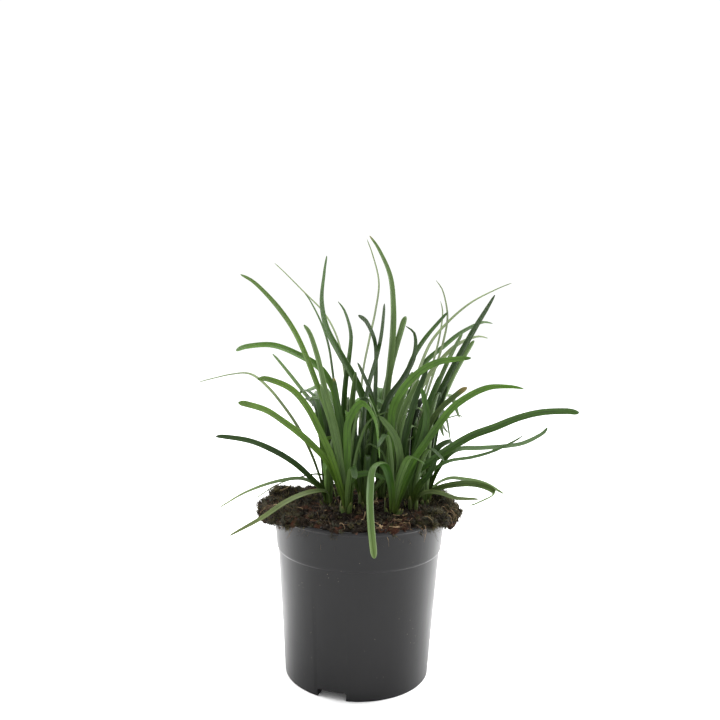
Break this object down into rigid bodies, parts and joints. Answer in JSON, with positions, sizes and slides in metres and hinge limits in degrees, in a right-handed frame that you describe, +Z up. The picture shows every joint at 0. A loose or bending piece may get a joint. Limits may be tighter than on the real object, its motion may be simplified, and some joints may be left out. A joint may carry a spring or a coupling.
{
  "type": "potted liriope",
  "caption": "Tuft of arching strap-shaped liriope leaves rooted in mossy soil in a round tapered plastic nursery pot with a banded rim.",
  "frame": {"origin": "on the floor under the middle of the pot's foot", "axes": "+Z up along the pot's axis, -Y towards the front view, +X to that view's right"},
  "size_m": [0.2733, 0.2229, 0.3289],
  "materials": {
    "pot": "satin",
    "soil": "matte",
    "leaves": "satin"
  },
  "bodies": {
    "root": {"pot": "pot", "soil": "soil", "tuft_a": "leaves", "tuft_b": "leaves", "tuft_c": "leaves", "tuft_d": "leaves", "tuft_e": "leaves", "tuft_f": "leaves", "tuft_g": "leaves", "tuft_h": "leaves", "tuft_i": "leaves", "tuft_j": "leaves", "tuft_k": "leaves"}
  },
  "joints": []
}
